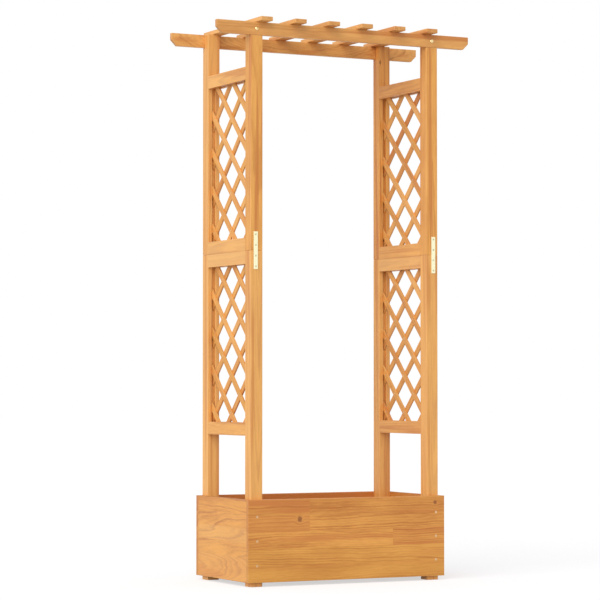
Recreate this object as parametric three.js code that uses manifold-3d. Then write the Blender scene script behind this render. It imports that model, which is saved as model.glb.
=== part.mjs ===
import * as THREE from 'three';
import { mergeVertices } from 'three/addons/utils/BufferGeometryUtils.js';
import Module from 'manifold-3d';

// A wooden planter with a trellis arch. Two trellis sides stand in the corners of a trough and carry
// a slatted roof. Millimetres; X runs along the trough, Y from front to back, Z up. The origin lies on
// the ground under the middle of the planter.

// Clearances
const fit = 0.3; // between a piece and its seat, its groove or its hole
const overcut = 5; // how far a cut runs past the face it opens

// Side frames
const postSection = 45; // posts and rails are planed from the same square stock
const frameLength = 743; // over the posts along X
const frameDepth = 393; // over the posts along Y
const lowerPostLength = 1156.5;
const upperPostLength = 791;
const panelHeight = 639; // over the two rails of one trellis panel
const grooveDepth = 10; // groove that holds the lattice in posts and rails
const tenonShoulder = 6; // hides the groove's end behind the rail

// Lattice
const lathWidth = 21;
const lathThickness = 6;
const lathPitch = 134.5; // between parallel laths, measured along a rail
const lathStart = 46; // from the upper rail down to the middle of the first diamond
const shortestLath = 60; // shorter pieces in the corners are left out

// Trough
const boardThickness = 16;
const boardHeight = 284;
const footHeight = 15; // how far the posts reach below the boards
const ledgerWidth = 20;
const ledgerHeight = 30;
const ledgerLift = 3; // above the lower edge of the boards
const floorSlatCount = 6;
const floorSlatThickness = 15;
const floorSlatGap = 8; // lets water out

// Roof
const beamHeight = 46;
const beamThickness = 15;
const beamOverhang = 130; // past the posts at each end
const beamChamfer = 21; // cut off the lower corner of each end
const slatCount = 6;
const slatWidth = 45;
const slatThickness = 15;
const slatOverhang = 40; // past the posts at front and back
const slatInset = 20.5; // from the outer face of the posts to the first slat

// Brass mending plates over the post joints
const plateLength = 130;
const plateWidth = 16;
const plateThickness = 2;
const plateOffset = 4.5; // from the middle of the post outwards
const plateHoleRadius = 2.2;
const plateHoleInner = 18.5; // from the joint to the two inner holes
const plateHoleOuter = 55.5; // from the joint to the two outer holes

// Screws that hold the long boards to the posts
const screwHeadRadius = 4.3;
const screwHeadDepth = 3;
const screwRadius = 2;
const screwLength = 45;
const screwPoint = 5; // length of the tapered tip
const screwRows = 3;
const screwEdge = 58; // from the board's edges to the outer rows
const screwInset = 17.5; // from the outer face of the post

// Screws that hold the roof beams to the posts
const beamScrewHeadRadius = 6.5;
const beamScrewHeadHeight = 3.5;
const beamScrewRadius = 3;
const beamScrewLength = 42;

const roundSides = 16;

// Derived places
const sideX = (frameLength - postSection) / 2;
const postY = (frameDepth - postSection) / 2;
const railLength = frameDepth - 2 * postSection;
const openingHeight = panelHeight - 2 * postSection;
const latticeThickness = 2 * lathThickness;
const grooveWidth = latticeThickness + 2 * fit;
const postTop = lowerPostLength + fit + upperPostLength;
const lowerPanelBase = lowerPostLength - panelHeight;
const boardTop = footHeight + boardHeight;
const floorBase = footHeight + ledgerLift + ledgerHeight + fit;

const wasm = await Module();
wasm.setup();

// Geometry to solid and back

function toSolid(geometry) {
  const bare = geometry.clone();
  bare.deleteAttribute('normal');
  bare.deleteAttribute('uv');
  const merged = mergeVertices(bare, 1e-4);
  return new wasm.Manifold(new wasm.Mesh({
    numProp: 3,
    vertProperties: new Float32Array(merged.attributes.position.array),
    triVerts: new Uint32Array(merged.index.array),
  }));
}

function toGeometry(solid) {
  const mesh = solid.getMesh();
  const geometry = new THREE.BufferGeometry();
  geometry.setAttribute('position', new THREE.BufferAttribute(mesh.vertProperties, mesh.numProp));
  geometry.setIndex(new THREE.BufferAttribute(mesh.triVerts, 1));
  const faceted = geometry.toNonIndexed();
  faceted.computeVertexNormals();
  return faceted;
}

// A block between two values on each axis
function block([x0, x1], [y0, y1], [z0, z1]) {
  const geometry = new THREE.BoxGeometry(x1 - x0, y1 - y0, z1 - z0);
  geometry.translate((x0 + x1) / 2, (y0 + y1) / 2, (z0 + z1) / 2);
  return toSolid(geometry);
}

// A round pin along +Y from y = 0, given as pairs of radius and distance along it
function pin(profile) {
  const points = profile.map(([radius, along]) => new THREE.Vector2(radius, along));
  return toSolid(new THREE.LatheGeometry(points, roundSides));
}

function cutAll(solid, cuts) {
  return cuts.reduce((rest, cut) => rest.subtract(cut), solid);
}

// Materials

const wood = { roughness: 0.62, metalness: 0 };
const frameWood = new THREE.MeshStandardMaterial({ color: 0xd9964f, ...wood });
const boardWood = new THREE.MeshStandardMaterial({ color: 0xcf8f4a, ...wood });
const roofWood = new THREE.MeshStandardMaterial({ color: 0xcc8a4a, ...wood });
const lathWood = new THREE.MeshStandardMaterial({ color: 0xe0a560, ...wood });
const innerWood = new THREE.MeshStandardMaterial({ color: 0xb87b41, ...wood });
const brass = new THREE.MeshStandardMaterial({ color: 0xf0dfa4, roughness: 0.3, metalness: 1 });
const steel = new THREE.MeshStandardMaterial({ color: 0xd8d2c4, roughness: 0.35, metalness: 1 });

function part(name, solid, material) {
  const mesh = new THREE.Mesh(toGeometry(solid), material);
  mesh.name = name;
  return mesh;
}

// Screws point along +Y. A countersunk board screw has its rim at y = 0 and a domed beam screw has the
// underside of its head there. Their holes follow them with a clearance.

function boardScrew() {
  return pin([
    [0, 0],
    [screwHeadRadius, 0],
    [screwRadius, screwHeadDepth],
    [screwRadius, screwLength - screwPoint],
    [0, screwLength],
  ]);
}

function boardScrewHole() {
  return pin([
    [0, -overcut],
    [screwHeadRadius + fit, -overcut],
    [screwHeadRadius + fit, 0],
    [screwRadius + fit, screwHeadDepth],
    [screwRadius + fit, screwLength + fit],
    [0, screwLength + fit],
  ]);
}

function beamScrew() {
  const dome = [0.5, 0.8, 1].map((share) => {
    const angle = share * Math.PI / 2;
    return [beamScrewHeadRadius * Math.sin(angle), -beamScrewHeadHeight * Math.cos(angle)];
  });
  return pin([
    [0, -beamScrewHeadHeight],
    ...dome,
    [beamScrewRadius, 0],
    [beamScrewRadius, beamScrewLength],
    [0, beamScrewLength],
  ]);
}

function beamScrewHole() {
  const radius = beamScrewRadius + fit;
  return pin([
    [0, -overcut],
    [radius, -overcut],
    [radius, beamScrewLength + fit],
    [0, beamScrewLength + fit],
  ]);
}

const screwRowHeights = Array.from({ length: screwRows }, (_, row) => (
  footHeight + screwEdge + row * (boardHeight - 2 * screwEdge) / (screwRows - 1)
));

// What stands at the back is what stands at the front, turned about
const faces = [
  { end: 'front', turn: 0, facing: 1 },
  { end: 'rear', turn: Math.PI, facing: -1 },
];

// Trellis side: four post lengths, four rails and two lattice panels. It is built round the plane
// x = 0 in the middle of its posts. The front post's outer face looks towards -Y; the rear post is the
// same post turned about.

const half = postSection / 2;

function groovedPost(length, panelBase) {
  const stock = block([-half, half], [-half, half], [0, length]);
  const groove = block(
    [-grooveWidth / 2, grooveWidth / 2],
    [half - grooveDepth, half + overcut],
    [panelBase + tenonShoulder - fit, panelBase + panelHeight - tenonShoulder + fit],
  );
  return stock.subtract(groove);
}

// Holes for the board screws, which come in through the outer face beside the post's middle
function lowerPost(outward) {
  const holes = screwRowHeights.map((z) => (
    boardScrewHole().translate([outward * (half - screwInset), -half - fit - boardThickness, z])
  ));
  return cutAll(groovedPost(lowerPostLength, lowerPanelBase), holes);
}

function upperPost() {
  const notch = block(
    [-half - overcut, half + overcut],
    [-half - overcut, -half + beamThickness + fit],
    [upperPostLength - beamHeight - fit, upperPostLength + overcut],
  );
  const height = upperPostLength - beamHeight / 2;
  return cutAll(groovedPost(upperPostLength, 0), [notch, beamScrewHole().translate([0, -half, height])]);
}

// A rail lies along Y with its grooved face up. Its stub tenons sit in the grooves of the posts.
function rail() {
  const reach = railLength / 2;
  const tenonReach = reach + grooveDepth - fit;
  const stock = block([-half, half], [-reach, reach], [0, postSection]);
  const tenons = block(
    [-lathThickness, lathThickness],
    [-tenonReach, tenonReach],
    [tenonShoulder, postSection - grooveDepth],
  );
  const groove = block(
    [-grooveWidth / 2, grooveWidth / 2],
    [-reach - overcut, reach + overcut],
    [postSection - grooveDepth, postSection + overcut],
  );
  return stock.subtract(groove).add(tenons);
}

// Two layers of laths cross at right angles and are trimmed to the grooves. The opening's lower edge
// is at z = 0. One layer climbs towards the back and lies on the -X side, the other climbs forwards.
function lattice() {
  const seat = grooveDepth - fit;
  const reachY = railLength / 2 + seat;
  const trim = block([-lathThickness, lathThickness], [-reachY, reachY], [-seat, openingHeight + seat]);
  const first = openingHeight - lathStart - lathPitch / 2;
  const lowest = -seat - reachY;
  const highest = openingHeight + seat + reachY;
  const stepsDown = Math.floor((first - lowest) / lathPitch);
  const stepsUp = Math.floor((highest - first) / lathPitch);
  const stockLength = 2 * (openingHeight + frameDepth);
  const laths = [];
  for (let step = -stepsDown; step <= stepsUp; step += 1) {
    const middle = first + step * lathPitch;
    const rise = Math.min(reachY, openingHeight + seat - middle) - Math.max(-reachY, -seat - middle);
    if (rise * Math.SQRT2 < shortestLath) {
      continue;
    }
    for (const side of [-1, 1]) {
      const lath = new THREE.BoxGeometry(lathThickness, stockLength, lathWidth);
      lath.rotateX(-side * Math.PI / 4);
      lath.translate(side * lathThickness / 2, 0, middle);
      laths.push(toSolid(lath).intersect(trim));
    }
  }
  return laths.reduce((all, lath) => all.add(lath));
}

function plate() {
  const stock = block(
    [-plateWidth / 2, plateWidth / 2],
    [-plateThickness, 0],
    [-plateLength / 2, plateLength / 2],
  );
  const hole = pin([
    [0, -overcut],
    [plateHoleRadius, -overcut],
    [plateHoleRadius, overcut],
    [0, overcut],
  ]);
  const heights = [-plateHoleOuter, -plateHoleInner, plateHoleInner, plateHoleOuter];
  return cutAll(stock, heights.map((z) => hole.translate([0, 0, z])));
}

function trellisSide(side, outward) {
  const group = new THREE.Group();
  group.position.x = outward * sideX;
  for (const { end, turn, facing } of faces) {
    const corner = new THREE.Group();
    corner.position.y = -facing * postY;
    corner.rotation.z = turn;
    const lower = part(`${side}_${end}_lower_post`, lowerPost(facing * outward), frameWood);
    const upper = part(`${side}_${end}_upper_post`, upperPost(), frameWood);
    upper.position.z = lowerPostLength + fit;
    const joint = part(`${side}_${end}_plate`, plate(), brass);
    joint.position.set(facing * outward * plateOffset, -half - fit, lowerPostLength + fit / 2);
    corner.add(lower, upper, joint);
    group.add(corner);
  }
  const panels = [
    { level: 'lower', base: lowerPanelBase },
    { level: 'upper', base: lowerPostLength + fit },
  ];
  for (const { level, base } of panels) {
    const bottomRail = part(`${side}_${level}_bottom_rail`, rail(), frameWood);
    bottomRail.position.z = base;
    const topRail = part(`${side}_${level}_top_rail`, rail(), frameWood);
    topRail.position.z = base + panelHeight;
    topRail.rotation.y = Math.PI;
    const panel = part(`${side}_${level}_lattice`, lattice(), lathWood);
    panel.position.z = base + postSection;
    group.add(bottomRail, topRail, panel);
  }
  return group;
}

// Trough: two long boards run past the two end boards. The floor slats lie on ledgers along the long
// boards, and the outer two are notched round the posts.

const longBoardReach = frameLength / 2 + fit + boardThickness;
const screwX = frameLength / 2 - screwInset;

function longBoard() {
  const stock = block([-longBoardReach, longBoardReach], [0, boardThickness], [footHeight, boardTop]);
  const holes = [-1, 1].flatMap((end) => screwRowHeights.map((z) => (
    boardScrewHole().translate([end * screwX, 0, z])
  )));
  return cutAll(stock, holes);
}

function endBoard() {
  return block(
    [frameLength / 2 + fit, frameLength / 2 + fit + boardThickness],
    [-frameDepth / 2, frameDepth / 2],
    [footHeight, boardTop],
  );
}

function ledger() {
  const reach = frameLength / 2 - postSection - fit;
  const bottom = footHeight + ledgerLift;
  return block([-reach, reach], [boardThickness + fit, boardThickness + fit + ledgerWidth],
    [bottom, bottom + ledgerHeight]);
}

const floorSlatWidth = (frameLength - (floorSlatCount - 1) * floorSlatGap) / floorSlatCount;

function floorSlat(index) {
  const left = -frameLength / 2 + index * (floorSlatWidth + floorSlatGap);
  const reach = frameDepth / 2 - fit;
  const slat = block([left, left + floorSlatWidth], [-reach, reach],
    [floorBase, floorBase + floorSlatThickness]);
  const notchX = frameLength / 2 - postSection - fit;
  const notchY = frameDepth / 2 - postSection - fit;
  const outerX = frameLength / 2 + overcut;
  const outerY = frameDepth / 2 + overcut;
  const depth = [floorBase - overcut, floorBase + floorSlatThickness + overcut];
  const notches = [[-outerX, -notchX], [notchX, outerX]].flatMap((alongX) => (
    [[-outerY, -notchY], [notchY, outerY]].map((alongY) => block(alongX, alongY, depth))
  ));
  return cutAll(slat, notches);
}

function trough() {
  const group = new THREE.Group();
  for (const { end, turn, facing } of faces) {
    const wall = new THREE.Group();
    wall.position.y = -facing * (frameDepth / 2 + fit + boardThickness);
    wall.rotation.z = turn;
    wall.add(part(`${end}_board`, longBoard(), boardWood));
    wall.add(part(`${end}_ledger`, ledger(), innerWood));
    for (const outward of [-1, 1]) {
      screwRowHeights.forEach((z, row) => {
        const side = outward * facing < 0 ? 'left' : 'right';
        const screw = part(`${end}_${side}_screw_${row + 1}`, boardScrew(), steel);
        screw.position.set(outward * screwX, 0, z);
        wall.add(screw);
      });
    }
    group.add(wall);
  }
  const rightEnd = part('right_end_board', endBoard(), boardWood);
  const leftEnd = part('left_end_board', endBoard(), boardWood);
  leftEnd.rotation.z = Math.PI;
  group.add(rightEnd, leftEnd);
  for (let index = 0; index < floorSlatCount; index += 1) {
    group.add(part(`floor_slat_${index + 1}`, floorSlat(index), innerWood));
  }
  return group;
}

// Roof: two beams let into the outer faces of the post tops, and slats laid across them.

function beam() {
  const reach = frameLength / 2 + beamOverhang;
  const outline = new THREE.Shape();
  outline.moveTo(-reach + beamChamfer, 0);
  outline.lineTo(reach - beamChamfer, 0);
  outline.lineTo(reach, beamChamfer);
  outline.lineTo(reach, beamHeight);
  outline.lineTo(-reach, beamHeight);
  outline.lineTo(-reach, beamChamfer);
  outline.closePath();
  const geometry = new THREE.ExtrudeGeometry(outline, { depth: beamThickness, bevelEnabled: false });
  geometry.rotateX(Math.PI / 2);
  geometry.translate(0, beamThickness, 0);
  const holes = [-1, 1].map((end) => beamScrewHole().translate([end * sideX, 0, beamHeight / 2]));
  return cutAll(toSolid(geometry), holes);
}

function roofSlat() {
  const reach = frameDepth / 2 + slatOverhang;
  return block([-slatWidth / 2, slatWidth / 2], [-reach, reach], [0, slatThickness]);
}

function roof() {
  const group = new THREE.Group();
  for (const { end, turn, facing } of faces) {
    const eaves = new THREE.Group();
    eaves.position.set(0, -facing * frameDepth / 2, postTop - beamHeight);
    eaves.rotation.z = turn;
    eaves.add(part(`${end}_beam`, beam(), roofWood));
    for (const outward of [-1, 1]) {
      const side = outward * facing < 0 ? 'left' : 'right';
      const screw = part(`${end}_${side}_beam_screw`, beamScrew(), brass);
      screw.position.set(outward * sideX, -fit, beamHeight / 2);
      eaves.add(screw);
    }
    group.add(eaves);
  }
  const firstX = -frameLength / 2 + slatInset + slatWidth / 2;
  const pitch = -2 * firstX / (slatCount - 1);
  for (let index = 0; index < slatCount; index += 1) {
    const slat = part(`roof_slat_${index + 1}`, roofSlat(), roofWood);
    slat.position.set(firstX + index * pitch, 0, postTop + fit);
    group.add(slat);
  }
  return group;
}

const planter = new THREE.Group();
planter.add(trough(), trellisSide('left', -1), trellisSide('right', 1), roof());

export default planter;
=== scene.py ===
import math
import random

import bmesh
import bpy
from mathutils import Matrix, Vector


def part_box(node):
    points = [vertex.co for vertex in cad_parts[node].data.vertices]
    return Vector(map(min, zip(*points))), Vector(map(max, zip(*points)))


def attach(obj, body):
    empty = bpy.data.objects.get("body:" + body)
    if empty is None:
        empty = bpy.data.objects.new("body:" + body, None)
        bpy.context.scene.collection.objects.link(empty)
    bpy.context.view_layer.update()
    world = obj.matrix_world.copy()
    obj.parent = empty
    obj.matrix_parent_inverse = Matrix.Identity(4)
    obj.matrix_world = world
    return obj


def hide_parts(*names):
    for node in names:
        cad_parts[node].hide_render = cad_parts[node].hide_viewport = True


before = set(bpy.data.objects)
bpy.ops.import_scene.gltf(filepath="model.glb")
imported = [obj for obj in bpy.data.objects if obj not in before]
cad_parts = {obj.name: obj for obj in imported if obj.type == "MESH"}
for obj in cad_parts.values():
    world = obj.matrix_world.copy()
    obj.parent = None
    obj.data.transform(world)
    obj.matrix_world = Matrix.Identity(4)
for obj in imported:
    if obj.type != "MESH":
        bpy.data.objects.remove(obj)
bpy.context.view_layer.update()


# ---------------------------------------------------------------------------------------------------
# Posts. Four corner posts of fir, planed 45 mm square, each in two lengths that butt end to end.
# The edges are eased with a plane stroke and the wood has two coats of orange-brown glaze. A groove
# down the inner face takes the lattice, and a notch at the top takes the roof beam.

EDGE_EASE = 0.0014
EASE_STEPS = 2
SHARP_BEND = math.radians(40)
FLAT_BEND = math.radians(1)
POST_RING_WIDTH = 0.0062
POST_PALE = (0.84, 0.405, 0.092)
POST_DEEP = (0.52, 0.185, 0.028)


def add_node(tree, kind, feeds=None, **options):
    """A new node with its options set. feeds maps an input's name or number to a value or an output."""
    node = tree.nodes.new(kind)
    for option, value in options.items():
        setattr(node, option, value)
    for key, value in (feeds or {}).items():
        if isinstance(value, bpy.types.NodeSocket):
            tree.links.new(value, node.inputs[key])
        else:
            node.inputs[key].default_value = value
    return node


def reckon(tree, operation, *values):
    """The output of a Math node."""
    return add_node(tree, "ShaderNodeMath", dict(enumerate(values)), operation=operation).outputs[0]


def ramp(tree, value, low, high, to_low=0.0, to_high=1.0):
    """A soft step from to_low to to_high as value goes from low to high."""
    feeds = {"Value": value, "From Min": low, "From Max": high, "To Min": to_low, "To Max": to_high}
    step = add_node(tree, "ShaderNodeMapRange", feeds, interpolation_type="SMOOTHSTEP")
    return step.outputs["Result"]


def centred(tree, value, size):
    """A value from 0 to 1 spread evenly to both sides of 0, over size."""
    return reckon(tree, "MULTIPLY", reckon(tree, "SUBTRACT", value, 0.5), size)


def blend_colour(tree, share, first, second):
    """Two colours mixed by share."""
    mix = add_node(tree, "ShaderNodeMix", data_type="RGBA")
    for socket, value in ((mix.inputs[0], share), (mix.inputs[6], first), (mix.inputs[7], second)):
        if isinstance(value, bpy.types.NodeSocket):
            tree.links.new(value, socket)
        elif socket.type == "RGBA":
            socket.default_value = (*value, 1.0)
        else:
            socket.default_value = value
    return mix.outputs[2]


def read_numbers(tree, attribute):
    """The three numbers of an attribute of the piece."""
    found = add_node(tree, "ShaderNodeAttribute", attribute_name=attribute)
    return add_node(tree, "ShaderNodeSeparateXYZ", {0: found.outputs["Vector"]}).outputs


def new_effect(name, takes, gives):
    """An empty shader group, which takes and gives sockets of these names and kinds."""
    tree = bpy.data.node_groups.new(name, "ShaderNodeTree")
    for in_out, sockets in (("INPUT", takes), ("OUTPUT", gives)):
        for socket, kind in sockets.items():
            tree.interface.new_socket(socket, in_out=in_out, socket_type=f"NodeSocket{kind}")
    return tree, tree.nodes.new("NodeGroupInput").outputs, tree.nodes.new("NodeGroupOutput").inputs


FIGURE = {"Late Wood": "Float", "Fibre": "Float", "Blotch": "Float", "Streak": "Float", "Knot": "Float"}
SURFACE = {"Colour": "Color", "Roughness": "Float", "Relief": "Float"}

# Cloudy patterns in the wood: clouds to the metre along and across, how fine, and their part of the trunk
SWAY_ACROSS = (4.5, 0.0, 1.0, 3.0)
SWAY_THROUGH = (2.9, 0.0, 1.0, 11.0)
RIPPLES = (6.0, 15.0, 1.5, 23.0)
KNOT_RIM = (60.0, 90.0, 2.0, 31.0)
RINGS_ASTRAY = (0.6, 60.0, 1.0, 41.0)
FIBRES = (22.0, 800.0, 3.0, 53.0)
BLOTCHES = (4.2, 20.0, 3.0, 67.0)
STREAKS_ALONG = 0.9
STREAKS_DETAIL = 2.0
STREAKS_PART = 79.0
PLANKS_APART = 91.0
YEARS_APART = 57.0
NO_KNOT = 0.0001


def sawn_fir():
    """The figure of sawn fir: growth rings round the heart of the trunk, fibres, glaze blotches, knots."""
    sizes = {"Ring Width": "Float", "Sway": "Float", "Ripple": "Float", "Streaks": "Float"}
    tree, given, result = new_effect("sawn fir", sizes, FIGURE)
    along, across, through = read_numbers(tree, "trunk")
    seed = read_numbers(tree, "plank")[0]
    knot_along, knot_across, knot_radius = read_numbers(tree, "knot")

    def clouds(to_metre_along, to_metre_across, detail, part):
        """Clouds drawn out along the fibres."""
        first = reckon(tree, "MULTIPLY", seed, PLANKS_APART + part)
        place = add_node(tree, "ShaderNodeCombineXYZ", {
            0: reckon(tree, "MULTIPLY_ADD", along, to_metre_along, first),
            1: reckon(tree, "MULTIPLY", across, to_metre_across),
            2: reckon(tree, "MULTIPLY_ADD", through, to_metre_across, part),
        })
        feeds = {"Vector": place.outputs[0], "Scale": 1.0, "Detail": detail, "Roughness": 0.55}
        return add_node(tree, "ShaderNodeTexNoise", feeds, noise_dimensions="3D").outputs["Fac"]

    def distance(first, second):
        """How far a place is from 0 in two directions."""
        squares = reckon(tree, "ADD", reckon(tree, "POWER", first, 2.0), reckon(tree, "POWER", second, 2.0))
        return reckon(tree, "SQRT", squares)

    # How far from the heart each spot lies, along a trunk that sways a little
    sway_across = centred(tree, clouds(*SWAY_ACROSS), given["Sway"])
    sway_through = centred(tree, clouds(*SWAY_THROUGH), reckon(tree, "MULTIPLY", given["Sway"], 2.0))
    swayed_across = reckon(tree, "ADD", across, sway_across)
    swayed_through = reckon(tree, "ADD", through, sway_through)
    from_heart = distance(swayed_across, swayed_through)
    rippled = reckon(tree, "ADD", from_heart, centred(tree, clouds(*RIPPLES), given["Ripple"]))

    # A branch pushes the rings aside
    knot_size = reckon(tree, "MAXIMUM", knot_radius, NO_KNOT)
    knot_distance = reckon(tree, "DIVIDE", distance(knot_along, knot_across), knot_size)
    has_knot = reckon(tree, "GREATER_THAN", knot_radius, NO_KNOT)
    push = reckon(tree, "MULTIPLY", ramp(tree, knot_distance, 0.4, 3.2, 1.1, 0.0), has_knot)
    rough_rim = reckon(tree, "ADD", knot_distance, centred(tree, clouds(*KNOT_RIM), 0.9))
    knot_mask = reckon(tree, "MULTIPLY", ramp(tree, rough_rim, 0.7, 1.5, 1.0, 0.0), has_knot)

    # Each year's ring darkens slowly and ends at once; some years are stronger than others
    years = reckon(tree, "ADD", reckon(tree, "DIVIDE", rippled, given["Ring Width"]), push)
    grown = reckon(tree, "ADD", years, centred(tree, clouds(*RINGS_ASTRAY), 1.3))
    season = reckon(tree, "FRACT", grown)
    year = reckon(tree, "MULTIPLY_ADD", seed, YEARS_APART, reckon(tree, "FLOOR", grown))
    chance = add_node(tree, "ShaderNodeTexWhiteNoise", {"W": year}, noise_dimensions="1D").outputs["Value"]
    vigour = reckon(tree, "MULTIPLY_ADD", reckon(tree, "POWER", chance, 2.0), 0.85, 0.15)
    late = reckon(tree, "SUBTRACT", ramp(tree, season, 0.25, 0.88), ramp(tree, season, 0.9, 1.0))

    streaks = clouds(STREAKS_ALONG, given["Streaks"], STREAKS_DETAIL, STREAKS_PART)
    tree.links.new(reckon(tree, "MULTIPLY", late, vigour), result["Late Wood"])
    tree.links.new(clouds(*FIBRES), result["Fibre"])
    tree.links.new(clouds(*BLOTCHES), result["Blotch"])
    tree.links.new(streaks, result["Streak"])
    tree.links.new(knot_mask, result["Knot"])
    return tree


GLAZE_RED = (0.56, 0.185, 0.038)
GLAZE_GOLD = (0.62, 0.31, 0.045)
BLEACHED = (0.85, 0.475, 0.165)
KNOT_BROWN = (0.24, 0.07, 0.015)
END_GRAIN = (0.42, 0.155, 0.04)
RUBBED = (0.82, 0.45, 0.18)

# How strongly each thing shows in the glaze
FIBRES_SHOW = 1.1
BLOTCHES_SHOW = 1.3
FIRST_DEPTH = 0.3
TONE_LIFTS = 0.2
TINTED_AT_MOST = 0.7
STREAKS_IN_THIN_GLAZE = 0.6
RED_SHOWS = 0.5
END_GRAIN_SHOWS = 0.2
RUBBED_SHOWS = 0.5
KNOTS_SHOW = 0.8
FIR_RELIEF = 0.35
FIR_RELIEF_DEPTH = 0.0004


def glaze_on_fir():
    """Glaze over the figure, between a pale early wood and a deep late wood, with red-brown streaks."""
    takes = {**FIGURE, "Pale": "Color", "Deep": "Color", "Contrast": "Float", "Streaked": "Float",
             "Roughness": "Float"}
    tree, given, result = new_effect("glaze on fir", takes, SURFACE)
    late, fibre, blotch, streak, knot = (given[name] for name in FIGURE)
    tone, red = read_numbers(tree, "plank")[1:]
    end_grain = add_node(tree, "ShaderNodeAttribute", attribute_name="end_grain").outputs["Fac"]
    eased = add_node(tree, "ShaderNodeAttribute", attribute_name="eased").outputs["Fac"]

    # How far each spot goes from pale to deep
    uneven = reckon(tree, "ADD", centred(tree, fibre, FIBRES_SHOW), centred(tree, blotch, BLOTCHES_SHOW))
    depth = reckon(tree, "ADD", reckon(tree, "MULTIPLY_ADD", late, given["Contrast"], uneven), FIRST_DEPTH)
    depth = reckon(tree, "SUBTRACT", depth, reckon(tree, "MULTIPLY", tone, TONE_LIFTS))
    share = add_node(tree, "ShaderNodeClamp", {"Value": depth}).outputs[0]
    colour = blend_colour(tree, share, given["Pale"], given["Deep"])

    # How each plank took the glaze: golden, red or thin, and in streaks along the fibres
    colour = blend_colour(tree, ramp(tree, red, 0.0, -1.0, 0.0, TINTED_AT_MOST), colour, GLAZE_GOLD)
    colour = blend_colour(tree, ramp(tree, tone, 0.3, 1.2, 0.0, TINTED_AT_MOST), colour, BLEACHED)
    in_thin_glaze = reckon(tree, "MULTIPLY", given["Streaked"], STREAKS_IN_THIN_GLAZE)
    taken_up = ramp(tree, tone, 0.3, 1.0, given["Streaked"], in_thin_glaze)
    streaks_of_red = reckon(tree, "MULTIPLY", ramp(tree, streak, 0.47, 0.64), taken_up)
    red_share = reckon(tree, "MULTIPLY_ADD", red, RED_SHOWS, streaks_of_red)
    colour = blend_colour(tree, ramp(tree, red_share, 0.0, 1.0), colour, GLAZE_RED)
    colour = blend_colour(tree, reckon(tree, "MULTIPLY", end_grain, END_GRAIN_SHOWS), colour, END_GRAIN)
    rubbed = reckon(tree, "MULTIPLY", eased, reckon(tree, "MULTIPLY", fibre, RUBBED_SHOWS))
    colour = blend_colour(tree, rubbed, colour, RUBBED)
    colour = blend_colour(tree, reckon(tree, "MULTIPLY", knot, KNOTS_SHOW), colour, KNOT_BROWN)
    tree.links.new(colour, result["Colour"])

    # Late wood is dense, so it stands up and shines a little more; the fibres make it dull
    dulled = reckon(tree, "ADD", given["Roughness"], centred(tree, fibre, 0.16))
    tree.links.new(reckon(tree, "MULTIPLY_ADD", late, -0.08, dulled), result["Roughness"])
    relief = reckon(tree, "MULTIPLY_ADD", late, 0.6, reckon(tree, "MULTIPLY", fibre, 0.8))
    tree.links.new(relief, result["Relief"])
    return tree


def dress_shader(tree, surface, strength, depth):
    """Leads a surface's colour, roughness and relief to the material's shader."""
    relief = {"Height": surface["Relief"], "Strength": strength, "Distance": depth}
    bump = add_node(tree, "ShaderNodeBump", relief)
    shader = tree.nodes["Principled BSDF"]
    tree.links.new(surface["Colour"], shader.inputs["Base Color"])
    tree.links.new(surface["Roughness"], shader.inputs["Roughness"])
    tree.links.new(bump.outputs["Normal"], shader.inputs["Normal"])
    return shader


fir_figure = sawn_fir()
fir_glaze = glaze_on_fir()


def glazed_fir(name, pale, deep, ring_width, contrast=0.5, sway=0.006, ripple=0.004, streaks=45.0,
               streaked=0.6, roughness=0.5):
    """A material of glazed fir with its own figure and colours."""
    material = bpy.data.materials.new(name)
    material.use_nodes = True
    tree = material.node_tree
    figure = add_node(tree, "ShaderNodeGroup", {
        "Ring Width": ring_width, "Sway": sway, "Ripple": ripple, "Streaks": streaks,
    }, node_tree=fir_figure)
    glaze = add_node(tree, "ShaderNodeGroup", {
        **{part: figure.outputs[part] for part in FIGURE},
        "Pale": (*pale, 1.0), "Deep": (*deep, 1.0), "Contrast": contrast, "Streaked": streaked,
        "Roughness": roughness,
    }, node_tree=fir_glaze)
    dress_shader(tree, glaze.outputs, FIR_RELIEF, FIR_RELIEF_DEPTH)
    return material


AXES = {"X": Vector((1, 0, 0)), "Y": Vector((0, 1, 0)), "Z": Vector((0, 0, 1))}


def plank(mark, **known):
    """Where a piece was sawn from its trunk and how it took the glaze. mark draws what isn't known. A knot
    has a place along and across the piece, a radius, and how far it is drawn out along the fibres."""
    draw = random.Random(mark)
    chances = {
        "seed": draw.random(),
        "tone": draw.uniform(-1, 1),
        "red": draw.uniform(-0.5, 0.8),
        "heart_across": draw.uniform(-0.02, 0.02),
        "heart_through": draw.choice((-1, 1)) * draw.uniform(0.035, 0.08),
        "dive": draw.uniform(-0.035, 0.035),
        "knot": None,
    }
    return {**chances, **known}


def ease_edges(bm, radius, shortest=0.008):
    """Rounds the long outer edges and marks the new faces."""
    marks = bm.faces.layers.float.new("eased")
    edges = [
        edge for edge in bm.edges
        if len(edge.link_faces) == 2 and edge.is_convex
        and edge.calc_face_angle() > SHARP_BEND and edge.calc_length() > shortest
    ]
    rounded = bmesh.ops.bevel(
        bm, geom=edges, offset=radius, segments=EASE_STEPS, profile=0.5, affect="EDGES", clamp_overlap=True,
    )
    for face in rounded["faces"]:
        face[marks] = 1.0


def whole_copy(node):
    """A welded copy of a CAD node, with the triangles of each flat face joined again."""
    bm = bmesh.new()
    bm.from_mesh(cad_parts[node].data)
    bmesh.ops.remove_doubles(bm, verts=bm.verts, dist=1e-6)
    bmesh.ops.dissolve_limit(bm, angle_limit=FLAT_BEND, verts=bm.verts, edges=bm.edges)
    return bm


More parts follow.
